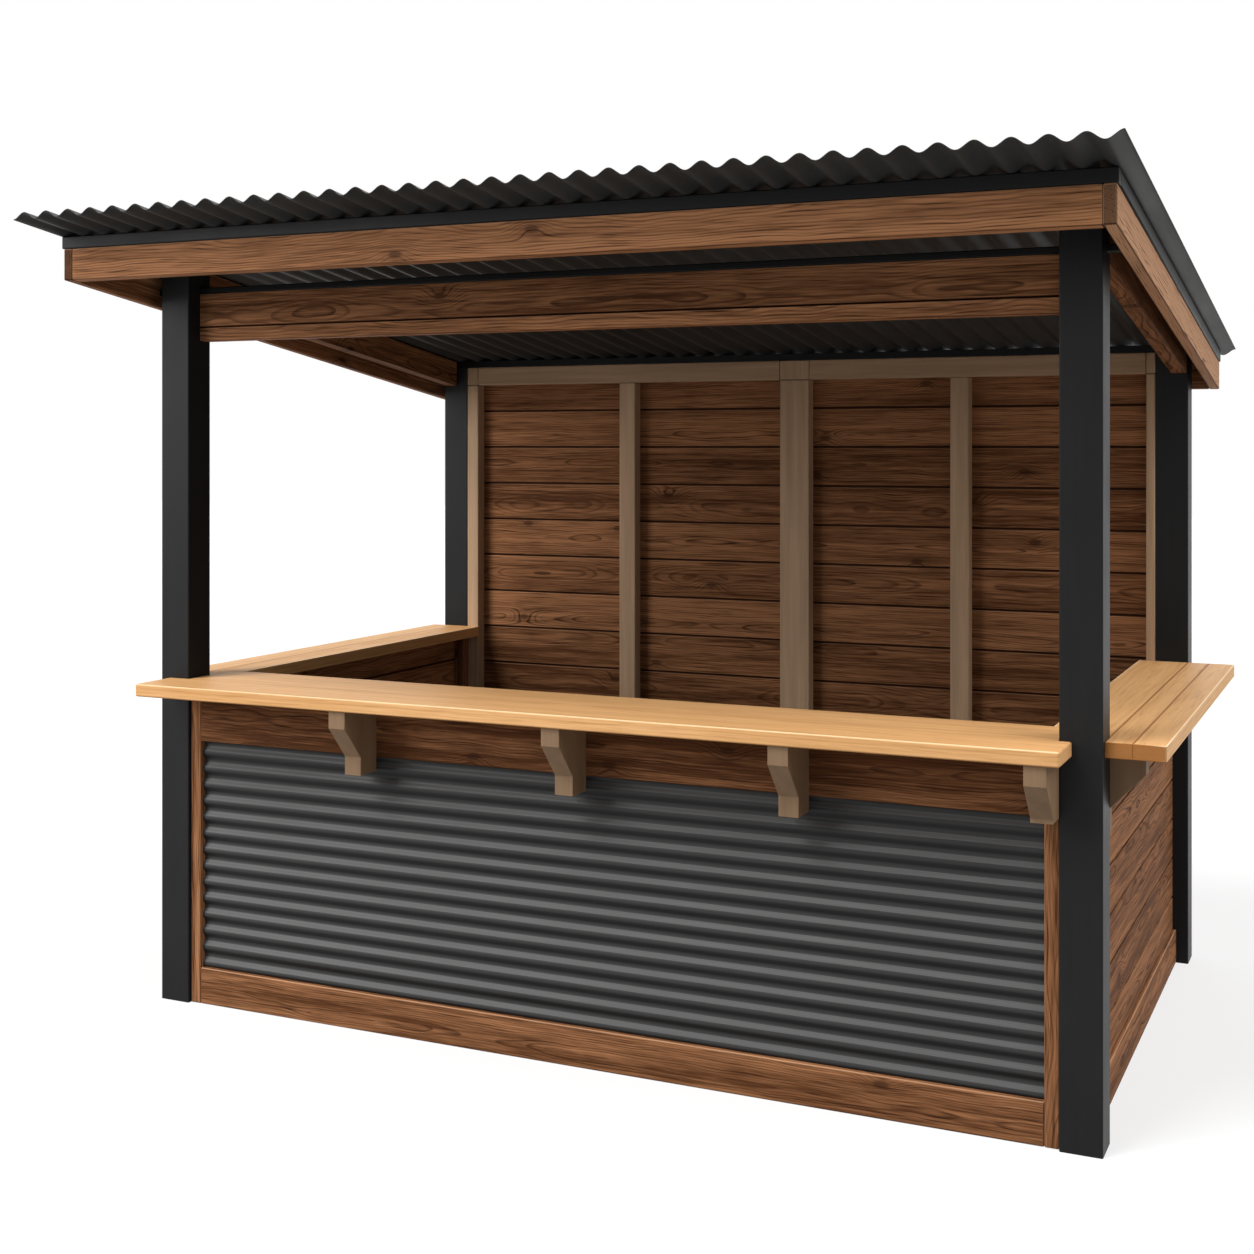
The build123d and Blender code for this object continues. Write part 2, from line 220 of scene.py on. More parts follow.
def tally(name, description, default):
    """A whole number from one upwards for a property group."""
    return IntProperty(name=name, description=description, default=default, min=1)


def far_light(name, default):
    """Strength of a broad far light, its softness and height in degrees, and its turn from the front."""
    description = "Strength, softness, height and turn from the front"
    return FloatVectorProperty(name=name, description=description, default=default, size=4)


def position(name, description, default):
    """A position in metres for a property group."""
    return FloatVectorProperty(
        name=name, description=description, default=default, size=3, subtype="TRANSLATION"
    )


def colour(name, description, default):
    """A linear colour for a property group."""
    return FloatVectorProperty(
        name=name, description=description, default=default, size=3, min=0.0, max=1.0, subtype="COLOR"
    )


class StallSizes(bpy.types.PropertyGroup):
    """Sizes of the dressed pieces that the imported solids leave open."""

    back_board_pitch: length("Back board pitch", "Height of one board of the back wall", 0.150)
    side_board_pitch: length("Side board pitch", "Height of one board of the side walls", 0.1365)
    side_board_lowest: length("Lowest side board", "Height of the lowest board of the side walls", 0.093)
    board_gap: length("Board gap", "Open joint between two boards", 0.007)
    header_gap: length("Header gap", "Open joint between the header's two boards", 0.0045)
    tongue_lap: length("Tongue lap", "Depth of the tongue behind a joint, in each board", 0.006)
    tongue_thickness: length("Tongue thickness", "Thickness of the tongue behind a joint", 0.004)
    board_arris: length("Board arris", "Radius of the eased edges of a board", 0.0025)
    timber_arris: length("Timber arris", "Radius of the eased edges of rails, fascias and studs", 0.0045)
    counter_arris: length("Counter arris", "Radius of the eased edges of a counter", 0.0055)
    counter_corner: length("Counter corner", "Radius of a counter's corners seen from above", 0.007)
    seam_arris: length("Seam arris", "Radius of the edges where two counter planks meet", 0.0015)
    outer_plank: length("Outer plank", "Width of the outermost plank of a side counter", 0.083)
    trim_arris: length("Trim arris", "Radius of the folded edges of the black roof trim", 0.003)
    header_lower: length("Header lower board", "Height of the lower of the header's two boards", 0.045)
    sheet_gauge: length("Sheet gauge", "Thickness of the corrugated sheets", 0.002)
    roof_half_waves: tally("Roof half waves", "Half waves across the roof sheet", 77)
    panel_half_waves: tally("Panel half waves", "Half waves up the front panel", 29)


class StallColours(bpy.types.PropertyGroup):
    """Linear colours of the finishes."""

    walnut_dark: colour("Walnut dark", "Darker streaks of the stained boards", (0.100, 0.038, 0.014))
    walnut_light: colour("Walnut light", "Lighter streaks of the stained boards", (0.385, 0.174, 0.079))
    walnut_line: colour("Walnut line", "Late wood and knots of the stained boards", (0.030, 0.010, 0.004))
    # The walnut edge colour also serves as the painted highlight on upper edges and the painted light on
    # pale-toned bars
    walnut_edge: colour("Walnut edge", "Rubbed edges of the stained boards", (0.48, 0.27, 0.155))
    oak_dark: colour("Oak dark", "Darker streaks of the counters", (0.55, 0.287, 0.110))
    oak_light: colour("Oak light", "Lighter streaks of the counters", (0.765, 0.446, 0.203))
    oak_line: colour("Oak line", "Growth lines of the counters", (0.30, 0.122, 0.034))
    # The oak edge colour also serves as the painted highlight on the counters' upper edges
    oak_edge: colour("Oak edge", "Rubbed edges of the counters", (0.95, 0.74, 0.47))
    taupe_dark: colour("Taupe dark", "Thin places in the taupe paint", (0.250, 0.152, 0.085))
    taupe_light: colour("Taupe light", "Full coats of the taupe paint", (0.470, 0.308, 0.186))
    taupe_edge: colour("Taupe edge", "Rubbed edges of the taupe paint", (0.52, 0.40, 0.28))
    taupe_joint: colour("Taupe joint", "Joints at the ends of the taupe timbers", (0.04, 0.024, 0.013))
    # The bracket colours are the taupe paint darkened as painted shade for the brackets' place under the
    # counters
    shaded_bracket_dark: colour("Bracket dark", "Thin places in the paint of the brackets", (0.150, 0.090, 0.047))
    shaded_bracket_light: colour("Bracket light", "Full coats of the paint of the brackets", (0.228, 0.140, 0.076))
    charcoal: colour("Charcoal", "Paint of the posts", (0.0068, 0.0068, 0.0070))
    trim_black: colour("Trim black", "Coating of the roof trim", (0.0035, 0.0035, 0.0036))
    roof_black: colour("Roof black", "Coating on top of the roof sheet", (0.0100, 0.0102, 0.0105))
    roof_backing: colour("Roof backing", "Thinner coat under the roof sheet", (0.0255, 0.0261, 0.0256))
    # Panel black is the coat itself; the panel highlight grey is a painted highlight on the upward slopes of
    # its waves
    panel_black: colour("Panel black", "Coating in the hollows of the front panel", (0.013, 0.013, 0.013))
    panel_grey: colour("Panel grey", "Rubbed coating on the front panel's slopes", (0.0780, 0.0775, 0.0769))
    floor_pale: colour("Floor", "Diffuse colour of the studio floor", (0.30, 0.30, 0.30))


class StallStudio(bpy.types.PropertyGroup):
    """Camera and light of the portrait."""

    camera_place: position("Camera place", "Where the camera stands", (2.1825, -5.136, 1.80))
    camera_turn: number("Camera turn", "Turn of the camera to the left of the depth axis", 24.8)
    lens: number("Lens", "Focal length in millimetres", 48.86)
    rise: number("Rise", "Vertical shift as a share of the frame", -0.1435)
    ambient: number("Ambient", "Strength of the white surroundings", 0.36)
    key: far_light("Key light", (2.4, 26.0, 54.0, -34.0))
    fill: far_light("Fill light", (2.25, 50.0, 50.0, 86.0))
    back: far_light("Back light", (0.6, 60.0, 35.0, 200.0))
    front_power: number("Front", "Power of the low front light in watts", 440.0)
    front_size: length("Front size", "Width and height of the low front light", 4.0)
    front_place: position("Front place", "Where the low front light stands", (-6.0, -6.4, 4.3))
    floor_glow: number("Floor glow", "Part of the floor's whiteness that no shadow takes", 0.62)


# Surfaces
class Shape:
    """One surface as arrays: points, quads with their smooth flags, end caps and values on the points."""

    def __init__(self, points, quads, smooth, caps, **values):
        self.points = points.reshape(-1, 3)
        self.quads = quads
        self.smooth = smooth
        self.caps = caps
        self.values = {name: value.reshape(len(self.points), -1) for name, value in values.items()}


def join(*shapes):
    """Several surfaces as one: arrays are stacked, and faces count on from the points before them."""
    starts = np.cumsum([0] + [len(shape.points) for shape in shapes[:-1]])
    joined = Shape(
        np.concatenate([shape.points for shape in shapes]),
        np.concatenate([shape.quads + start for shape, start in zip(shapes, starts)]),
        np.concatenate([shape.smooth for shape in shapes]),
        [[index + int(start) for index in cap] for shape, start in zip(shapes, starts) for cap in shape.caps],
    )
    joined.values = {
        name: np.concatenate([shape.values[name] for shape in shapes]) for name in shapes[0].values
    }
    return joined


def ring_quads(index):
    """Quads between neighbouring rings: the second axis steps along the path, the third goes round."""
    onward = np.roll(index, -1, axis=2)
    corners = (index[:, :-1], onward[:, :-1], onward[:, 1:], index[:, 1:])
    return np.stack(corners, axis=-1)


def wood_values(place, facing, extent, seed, tone=None, rift=0.0):
    """Values that the timber finishes read, for bars whose local places are given in metres.

    The grain is the place moved by a chance shift, so that each bar is cut from another part of a log. The
    rim place is the place over the bar's size, from minus to plus a half. Facing is the upward part of the
    surface's direction. The tone is one number a bar, dark below nought and pale above it, left to chance
    where none is given. The rift moves the bar sideways from the pith, which makes its grain straighter.
    """
    chance = np.random.default_rng(seed)
    count = len(place)
    shift = np.stack(
        (
            chance.uniform(0, LOG_LENGTH, count),
            chance.uniform(-LOG_SIDE, LOG_SIDE, count) + rift,
            chance.uniform(*PITH_DISTANCES, count),
        ),
        axis=1,
    )
    lie = (1,) * (place.ndim - 2)
    sizes = extent.reshape(count, *lie, 3)
    drawn = chance.uniform(-1, 1, count)
    tones = (drawn if tone is None else np.full(count, tone)).reshape(count, *lie, 1)
    return {
        "grain": place + shift.reshape(count, *lie, 3),
        "rim_place": place / sizes,
        "rim_size": np.broadcast_to(sizes, place.shape).copy(),
        "facing": np.broadcast_to(facing, place.shape[:-1]).copy(),
        "tone": np.broadcast_to(tones, place.shape[:-1] + (1,)).copy(),
    }


def bars(start, along, across, up, arris, seed, tone=None, edge_light_share=1.0, rift=0.0):
    """Timber bars with eased edges, any number at once.

    A point is the bar's middle + s along + a across + b up, with unit directions. s steps along the bar, and
    (a, b) goes round a rectangle whose corners are quarter circles of the arris radius. The first and the
    last ring are drawn in, which cuts a chamfer on the ends. The edge light share is the share of the upward
    direction that the finish reads for painted edge light: upper edges of a low share get little painted
    highlight, and those below nought get painted shade.
    """
    start, along, across, up = (np.atleast_2d(np.asarray(item, float)) for item in (start, along, across, up))
    left_handed = np.einsum("ij,ij->i", np.cross(across, up), along) < 0
    across = np.where(left_handed[:, None], -across, across)
    long, wide, high = (np.linalg.norm(item, axis=1) for item in (along, across, up))
    radius = np.minimum(arris, ARRIS_LIMIT_SHARE * np.minimum(wide, high))
    turn = np.linspace(0, pi / 2, ARRIS_STEPS + 1)
    angle = (np.arange(4)[:, None] * pi / 2 + turn).ravel()
    side_across = np.repeat((1, -1, -1, 1), ARRIS_STEPS + 1)
    side_up = np.repeat((1, 1, -1, -1), ARRIS_STEPS + 1)
    ring_share = np.array((END_SHARE, 1, 1, END_SHARE))
    cut = (1 - END_SHARE) * radius
    s = np.stack((-long / 2, cut - long / 2, long / 2 - cut, long / 2), axis=1)[:, :, None]
    ring_radius = radius[:, None, None] * ring_share[None, :, None]
    a = side_across * (wide / 2 - radius)[:, None, None] + ring_radius * np.cos(angle)
    b = side_up * (high / 2 - radius)[:, None, None] + ring_radius * np.sin(angle)
    place = np.stack((np.broadcast_to(s, a.shape), a, b), axis=-1)
    directions = np.stack((along / long[:, None], across / wide[:, None], up / high[:, None]), axis=1)
    middle = (start + along / 2)[:, None, None, :]
    points = middle + np.einsum("prkc,pcd->prkd", place, directions)
    index = np.arange(a.size).reshape(a.shape)
    quads = ring_quads(index)
    rounded = (np.arange(a.shape[2]) % (ARRIS_STEPS + 1)) != ARRIS_STEPS
    smooth = np.broadcast_to(rounded, quads.shape[:-1]).ravel()
    caps = index[:, 0, ::-1].tolist() + index[:, -1].tolist()
    level_parts = directions[:, 1:, 2, None, None]
    facing = level_parts[:, 0] * np.cos(angle) + level_parts[:, 1] * np.sin(angle)
    facing = np.where(facing > 0, edge_light_share * facing, facing)
    values = wood_values(place, facing, np.stack((long, wide, high), axis=1), seed, tone, rift)
    return Shape(points, quads.reshape(-1, 4), smooth, caps, **values)


def rounded_outline(corners, radius):
    """A right-angled outline, counter-clockwise, with a quarter circle at each outward corner.

    With e before and f after a corner p, the circle's centre is p - r e + r f, and its points are the centre
    + r (e sin t - f cos t) for t from nought to a right angle. Inward corners stay sharp.
    """
    corners = np.asarray(corners, float)
    after = np.roll(corners, -1, axis=0) - corners
    after /= np.linalg.norm(after, axis=1)[:, None]
    before = np.roll(after, 1, axis=0)
    outward = before[:, 0] * after[:, 1] - before[:, 1] * after[:, 0] > 0
    turn = np.linspace(0, pi / 2, OUTLINE_STEPS + 1)[None, :, None]
    size = (radius * outward)[:, None, None]
    centre = corners[:, None, :] - size * before[:, None, :] + size * after[:, None, :]
    arcs = centre + size * (before[:, None, :] * np.sin(turn) - after[:, None, :] * np.cos(turn))
    wanted = np.broadcast_to(outward[:, None], arcs.shape[:2]).copy()
    wanted[:, 0] = True
    return arcs[wanted]


def slab(outline, low, high, arris, grain_axis, seed, seams=(), end_cut=True):
    """A level plank with any outline and eased edges.

    Level rings of the outline are moved inwards by r (1 - sin t) at heights r (1 - cos t) above the
    underside, and likewise below the top, for t from nought to a right angle. A corner moves inwards along
    the sum of its two edge normals over one plus their product, which keeps the ring parallel. Points within
    an arris of a seam, given by its x, face downwards for the finish, which draws a dark line there. Without
    an end cut the plank counts as twice as long, so that its ends keep the colour of its faces.
    """
    edge = np.roll(outline, -1, axis=0) - outline
    edge /= np.linalg.norm(edge, axis=1)[:, None]
    normal = np.stack((-edge[:, 1], edge[:, 0]), axis=1)
    before = np.roll(normal, 1, axis=0)
    inwards = (normal + before) / (1 + np.sum(normal * before, axis=1))[:, None]
    turn = np.linspace(0, pi / 2, ARRIS_STEPS + 1)
    inset = arris * np.concatenate((1 - np.sin(turn), 1 - np.sin(turn)[::-1]))
    rise = arris * (1 - np.cos(turn))
    height = np.concatenate((low + rise, high - rise[::-1]))
    flat = outline[None] + inset[:, None, None] * inwards[None]
    level = np.broadcast_to(height[:, None, None], flat.shape[:2] + (1,))
    points = np.concatenate((flat, level), axis=-1)[None]
    index = np.arange(points[..., 0].size).reshape(points.shape[:3])
    quads = ring_quads(index)
    eased = np.arange(len(height) - 1) != ARRIS_STEPS
    smooth = np.broadcast_to(eased[None, :, None], quads.shape[:-1]).ravel()
    caps = index[:, 0, ::-1].tolist() + index[:, -1].tolist()
    order = (0, 1, 2) if grain_axis == 0 else (1, 0, 2)
    corner_low, corner_high = points.min(axis=(0, 1, 2)), points.max(axis=(0, 1, 2))
    place = (points - (corner_low + corner_high) / 2)[..., order]
    extent = (corner_high - corner_low)[None, order] * ((1, 1, 1) if end_cut else (2, 1, 1))
    beside_seam = np.zeros(len(outline), bool)
    for seam in seams:
        beside_seam |= abs(abs(outline[:, 0]) - seam) < SEAM_REACH * arris
    facing = np.concatenate((-np.cos(turn), np.cos(turn)[::-1]))[:, None]
    facing = np.where(beside_seam, -1.0, facing)
    return Shape(points, quads.reshape(-1, 4), smooth, caps, **wood_values(place, facing, extent, seed))


def corrugated(origin, across, along, lift, half_waves, depth, gauge):
    """A corrugated sheet with two faces and closed edges.

    A point is origin + u across + v along + h lift, with u and v from nought to one. The faces lie at
    h = -w cos(pi n u) plus and minus half the gauge, with n half waves and w half the depth less the gauge,
    so the first edge is a valley. The band value is -sin(pi n u), one where the sheet falls away steepest.
    The outer value is one on the face towards the lift and nought on the other.
    """
    across, along, lift = (np.asarray(item, float) for item in (across, along, lift))
    u = np.linspace(0, 1, half_waves * WAVE_STEPS + 1)
    wave = -(depth - gauge) / 2 * np.cos(pi * half_waves * u)
    around = np.concatenate((u, u[::-1]))
    height = np.concatenate((wave + gauge / 2, (wave - gauge / 2)[::-1]))
    section = around[:, None] * across + height[:, None] * lift
    v = np.linspace(0, 1, SHEET_STATIONS)
    points = (np.asarray(origin, float) + v[:, None, None] * along + section[None])[None]
    band = np.broadcast_to(-np.sin(pi * half_waves * around), points.shape[:3])
    outer = np.broadcast_to(np.repeat((1.0, 0.0), len(u)), points.shape[:3])
    index = np.arange(points[..., 0].size).reshape(points.shape[:3])
    quads = ring_quads(index).reshape(-1, 4)
    top = np.arange(len(u))
    under = len(around) - 1 - top
    ends = []
    for ring, step in ((index[0, 0], 1), (index[0, -1], -1)):
        corners = (ring[top[:-1]], ring[under[:-1]], ring[under[1:]], ring[top[1:]])
        ends.append(np.stack(corners, axis=1)[:, ::step])
    quads = np.concatenate((quads, *ends))
    if np.dot(np.cross(across, along), lift) < 0:
        quads = quads[:, ::-1]
    return Shape(points, quads, np.ones(len(quads), bool), [], band=band.copy(), outer=outer.copy())


# Pieces
def add_piece(name, shape, slot, nodes, sharp_angle=None):
    """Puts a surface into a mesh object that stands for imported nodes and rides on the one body."""
    mesh = bpy.data.meshes.new(name)
    mesh.from_pydata(shape.points.tolist(), [], shape.quads.tolist() + shape.caps)
    flags = np.concatenate((shape.smooth, np.zeros(len(shape.caps), bool)))
    mesh.polygons.foreach_set("use_smooth", flags)
    for value_name, values in shape.values.items():
        vector = values.shape[1] == 3
        layer = mesh.attributes.new(value_name, "FLOAT_VECTOR" if vector else "FLOAT", "POINT")
        layer.data.foreach_set("vector" if vector else "value", values.astype(np.float32).ravel())
    mesh.update()
    if sharp_angle is not None:
        mesh.set_sharp_from_angle(angle=sharp_angle)
    if mesh.validate():
        raise RuntimeError(f"{name}: the surface has faulty faces")
    piece = bpy.data.objects.new(name, mesh)
    bpy.context.scene.collection.objects.link(piece)
    mesh.materials.append(finish_for(slot))
    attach(piece, BODY)
    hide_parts(*nodes)
    return piece


def paint_nodes(slot, nodes):
    """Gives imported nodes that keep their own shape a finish."""
    for node in nodes:
        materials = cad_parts[node].data.materials
        materials.clear()
        materials.append(finish_for(slot, "solid"))


def bar_of(node, lie):
    """Start, along, across and up of the bar that fills a node's box, as it lies.

    Axis 0 runs across the stall, 1 from front to back and 2 upwards. A bar that falls follows the roof: its
    depth direction drops by the fall, and its plumb height is the box's height less that drop. A bar with a
    plumb foot keeps the whole height on its front face.
    """
    low, high = box(node)
    size = high - low
    centre = (low + high) / 2
    drop = FALL * size[1] if lie.falls else 0.0
    height = size[2] if lie.plumb_foot else size[2] - drop
    if lie.axis == 2:
        return centre - (0, 0, size[2] / 2), (0, 0, size[2]), (size[0], 0, 0), (0, size[1], 0)
    middle_z = high[2] - drop / 2 - height / 2
    across = (0, 0, height)
    if lie.axis == 0:
        return (low[0], centre[1], middle_z), (size[0], 0, 0), across, (0, size[1], -drop)
    return (centre[0], low[1], middle_z + drop / 2), (0, size[1], -drop), across, (size[0], 0, 0)


def add_bars(plan, slot, arris, seed, ending):
    """One eased bar for each node of a plan, which gives how it lies and its tone."""
    for count, (node, lie) in enumerate(plan.items()):
        shape = bars(*bar_of(node, lie), arris, seed + count, lie.tone, rift=lie.rift)
        add_piece(f"{node}_{ending}", shape, slot, [node])


def board_rows(node, lowest, pitch, gap, along_axis, sizes, seed, edge_light_share, tones=None):
    """Level boards that fill a node's box, with open joints and a dark tongue behind each joint.

    Above the lowest board the joints lie a pitch apart, and the top board takes what is left. The boards stop
    half a gap from each joint, and the tongues reach a lap further into both boards.
    """
    low, high = box(node)
    size = high - low
    joints = np.arange(low[2] + lowest, high[2] - LEAST_BOARD_SHARE * pitch, pitch)
    bottoms = np.append(low[2], joints)
    tops = np.append(bottoms[1:], high[2])
    inner = np.concatenate(([0.0], np.full(len(bottoms) - 1, gap / 2)))
    low_edge = bottoms + inner
    high_edge = tops - np.append(inner[1:], 0.0)
    through_axis = 1 - along_axis

    def row(bottom, top, thickness, arris, row_seed, tone):
        count = len(bottom)
        start = np.tile((low + high) / 2, (count, 1))
        start[:, along_axis] = low[along_axis]
        start[:, 2] = (bottom + top) / 2
        along, across, up = np.zeros((3, count, 3))
        along[:, along_axis] = size[along_axis]
        across[:, 2] = top - bottom
        up[:, through_axis] = thickness
        return bars(start, along, across, up, arris, row_seed, tone, edge_light_share)

    boards = row(low_edge, high_edge, size[through_axis], sizes.board_arris, seed, tones)
    reach = gap / 2 + sizes.tongue_lap
    # The tongues take the shaded tone: painted nearly black as the shade inside the joints
    tongues = row(joints - reach, joints + reach, sizes.tongue_thickness, sizes.seam_arris, seed + 1, SHADED)
    return join(boards, tongues)


# Shader expressions
class Value:
    """A shader socket inside a Python expression: arithmetic on it adds Math nodes."""

    def __init__(self, tree, socket):
        self.tree = tree
        self.socket = socket

    def output(self, name):
        """Another output of the same node."""
        return Value(self.tree, self.socket.node.outputs[name])

    def math(self, operation, *items):
        """A Math node over the given items, in their order."""
        node = self.tree.nodes.new("ShaderNodeMath")
        node.operation = operation
        for socket, item in zip(node.inputs, items):
            feed(self.tree, socket, item)
        return Value(self.tree, node.outputs[0])

    def __add__(self, other):
        return self.math("ADD", self, other)

    __radd__ = __add__

    def __sub__(self, other):
        return self.math("SUBTRACT", self, other)

    def __rsub__(self, other):
        return self.math("SUBTRACT", other, self)

    def __mul__(self, other):
        return self.math("MULTIPLY", self, other)

    __rmul__ = __mul__

    def __truediv__(self, other):
        return self.math("DIVIDE", self, other)

    def __rtruediv__(self, other):
        return self.math("DIVIDE", other, self)

    def __gt__(self, other):
        return self.math("GREATER_THAN", self, other)

    def __abs__(self):
        return self.math("ABSOLUTE", self)

    def least(self, other):
        return self.math("MINIMUM", self, other)

    def most(self, other):
        return self.math("MAXIMUM", self, other)

    def root(self):
        return self.math("SQRT", self)

    def whole(self):
        return self.math("FLOOR", self)

    def exponential(self):
        return self.math("EXPONENT", self)


def feed(tree, socket, item):
    """Links a value to a socket, or sets the socket to a plain number, vector or colour."""
    if isinstance(item, Value):
        tree.links.new(item.socket, socket)
    elif socket.type == "RGBA" and len(item) == 3:
        socket.default_value = (*item, 1.0)
    else:
        socket.default_value = item


class Finish:
    """A material with one main shader, and the node shorthands that its surface is written with."""

    def __init__(self, name):
        self.material = bpy.data.materials.new(name)
        self.material.use_nodes = True
        self.tree = self.material.node_tree
        self.shader = self.tree.nodes["Principled BSDF"]

    def node(self, kind, settings=None, sockets=None, out=0):
        """A node of any type: settings first, then socket values or links by name or number."""
        made = self.tree.nodes.new(kind)
        for name, value in (settings or {}).items():
            setattr(made, name, value)
        for name, item in (sockets or {}).items():
            feed(self.tree, made.inputs[name], item)
        return Value(self.tree, made.outputs[out])

    def attribute(self, name, out="Vector"):
        return self.node("ShaderNodeAttribute", {"attribute_name": name}, out=out)

    def split(self, vector):
        """The three numbers of a vector or a colour."""
        first = self.node("ShaderNodeSeparateXYZ", sockets={0: vector})
        return first, first.output(1), first.output(2)

    def vector(self, x, y, z):
        return self.node("ShaderNodeCombineXYZ", sockets={0: x, 1: y, 2: z})

    def noise(self, vector, detail=2.0, roughness=0.5, out=0):
        """Noise about a half, at one wave to the unit of the vector."""
        sockets = {"Vector": vector, "Scale": 1.0, "Detail": detail, "Roughness": roughness}
        return self.node("ShaderNodeTexNoise", sockets=sockets, out=out)

    def grain(self, place, waves, detail=2.0, roughness=0.5, out=0):
        """Noise drawn out along the grain, with so many waves to the metre along it and across it."""
        along, across, through = place
        drawn = self.vector(along * waves[0], across * waves[1], through * waves[1])
        return self.noise(drawn, detail, roughness, out)

    def step(self, value, low, high):
        """A smooth step from nought at low to one at high."""
        sockets = {"Value": value, "From Min": low, "From Max": high}
        return self.node("ShaderNodeMapRange", {"interpolation_type": "SMOOTHSTEP"}, sockets)

    def mix(self, factor, first, second):
        """A colour between two others."""
        settings = {"data_type": "RGBA", "clamp_factor": True}
        return self.node("ShaderNodeMix", settings, {0: factor, 6: first, 7: second}, out=2)

    def bump(self, height, strength, distance):
        sockets = {"Height": height, "Strength": strength, "Distance": distance}
        return self.node("ShaderNodeBump", sockets=sockets)

    def set(self, **sockets):
        """Feeds the main shader, with underscores for the blanks of its socket names."""
        for name, item in sockets.items():
            feed(self.tree, self.shader.inputs[name.replace("_", " ")], item)


def rim_distances(finish):
    """Distances from a place on a bar to the nearest end, and to the nearest edge.

    The distance to an edge is the middle one of the distances to the bar's three pairs of faces.
    """
    places = finish.split(finish.attribute("rim_place"))
    sizes = finish.split(finish.attribute("rim_size"))
    ends, sides, faces = ((0.5 - abs(place)) * size for place, size in zip(places, sizes))
    return ends, ends.least(sides).most(ends.most(sides).least(faces))


def timber_finish(name, timber, colours):
    """Sawn timber: the growth rings of a log with a wandering pith, cut by the bar's own faces.

    The rings are the distance from the pith over the ring pitch, bulged round scattered knots. Late wood is
    a dark line at the end of each ring. Streaks, fibres and pores are noise drawn out along the grain. End
    grain is darker. Eased edges are worn a little paler, upper edges get a painted highlight and lower edges
    a painted shade, bars of a high tone are paled by painted light, and bars of the shaded tone, the hidden
    tongues, are painted nearly black as the shade in the joints.
    """
    parts = ("dark", "light", "line", "edge")
    dark, light, line, edge = (getattr(colours, f"{timber.stem}_{part}") for part in parts)
    finish = Finish(name)
    place = along, across, through = finish.split(finish.attribute("grain"))
    tone = finish.attribute("tone", out="Fac")
    facing = finish.attribute("facing", out="Fac")
    wander = finish.grain(place, WANDER_WAVES, out="Color")
    sway_across, sway_through, _ = finish.split(wander)
    from_pith = across + (sway_across - 0.5) * timber.sway
    under_pith = through + (sway_through - 0.5) * timber.sway + timber.pith_depth

    settings = {"voronoi_dimensions": "2D"}
    cells = finish.vector(along * KNOT_SPREAD[0], across * KNOT_SPREAD[1] + tone, 0.0)
    knot_reach = finish.node("ShaderNodeTexVoronoi", settings, {"Vector": cells, "Scale": 1.0})
    chance, _, _ = finish.split(knot_reach.output("Color"))
    knotted = chance > timber.knot_rarity
    bulge = knotted * (knot_reach * knot_reach * KNOT_FADE).exponential()
    heart = knotted * (1 - finish.step(knot_reach, *KNOT_HEART))

    ripple = finish.grain(place, RIPPLE_WAVES) - 0.5
    radius = (from_pith * from_pith + under_pith * under_pith).root()
    turns = (radius + bulge * KNOT_BULGE) / timber.ring_pitch + ripple * 0.7
    year = turns.whole()
    phase = turns - year
    vigour = finish.node("ShaderNodeTexWhiteNoise", {"noise_dimensions": "1D"}, {"W": year})
    late = finish.step(phase, *LATE_WOOD) * (1 - finish.step(phase, *RING_END)) * (vigour * 0.75 + 0.25)

    fibre = finish.grain(place, FIBRE_WAVES, 3.0, 0.7)
    streak = finish.grain(place, STREAK_WAVES, 3.0)
    pores = finish.step(finish.grain(place, PORE_WAVES), *PORE_NOISE)
    body = ((streak - 0.5) * 1.8 + (fibre - 0.5) * 1.8) * timber.figure + tone * timber.tone_share + 0.54
    wood = finish.mix(body, dark, light)
    wood = finish.mix((late * 0.66 + bulge * 0.25 + pores * 0.42) * timber.figure, wood, line)
    wood = finish.mix(heart * 0.6, wood, line)
    ends, rim = rim_distances(finish)
    # Painted light: bars of a high tone, such as the right rake, are paled towards the edge colour as if
    # strongly lit
    painted_light_pale = finish.step(tone, 1.2, 2.2) * (1.1 - late * 0.5 - pores * 0.6)
    wood = finish.mix(painted_light_pale, wood, edge)
    wood = finish.mix((1 - finish.step(ends, *END_CUT)) * timber.end_share, wood, line)
    # Eased edges: a little real wear on all of them, a painted highlight on upper edges and painted shade on
    # lower edges; seam edges, set to face downwards, get a dark joint line
    eased = 1 - finish.step(rim, *EASED_EDGE)
    wood = finish.mix(eased * (facing * 0.85 + 0.15) * (streak * 0.5 + 0.7), wood, edge)
    wood = finish.mix(eased * finish.step(facing, -0.1, -0.9) * 0.9, wood, line)
    # Painted shade: bars of the shaded tone, the hidden tongues, turn nearly black
    wood = finish.mix(finish.step(tone, -2.2, -2.8) * 0.95, wood, line)
    height = fibre * 0.6 - late * 0.5 - pores * 0.4 - heart * 0.4
    finish.set(
        Base_Color=wood,
        Roughness=(fibre - 0.5) * 0.25 + late * 0.08 + timber.roughness,
        Normal=finish.bump(height, 0.35, 0.0006),
        Specular_IOR_Level=0.05,
    )
    return finish.material


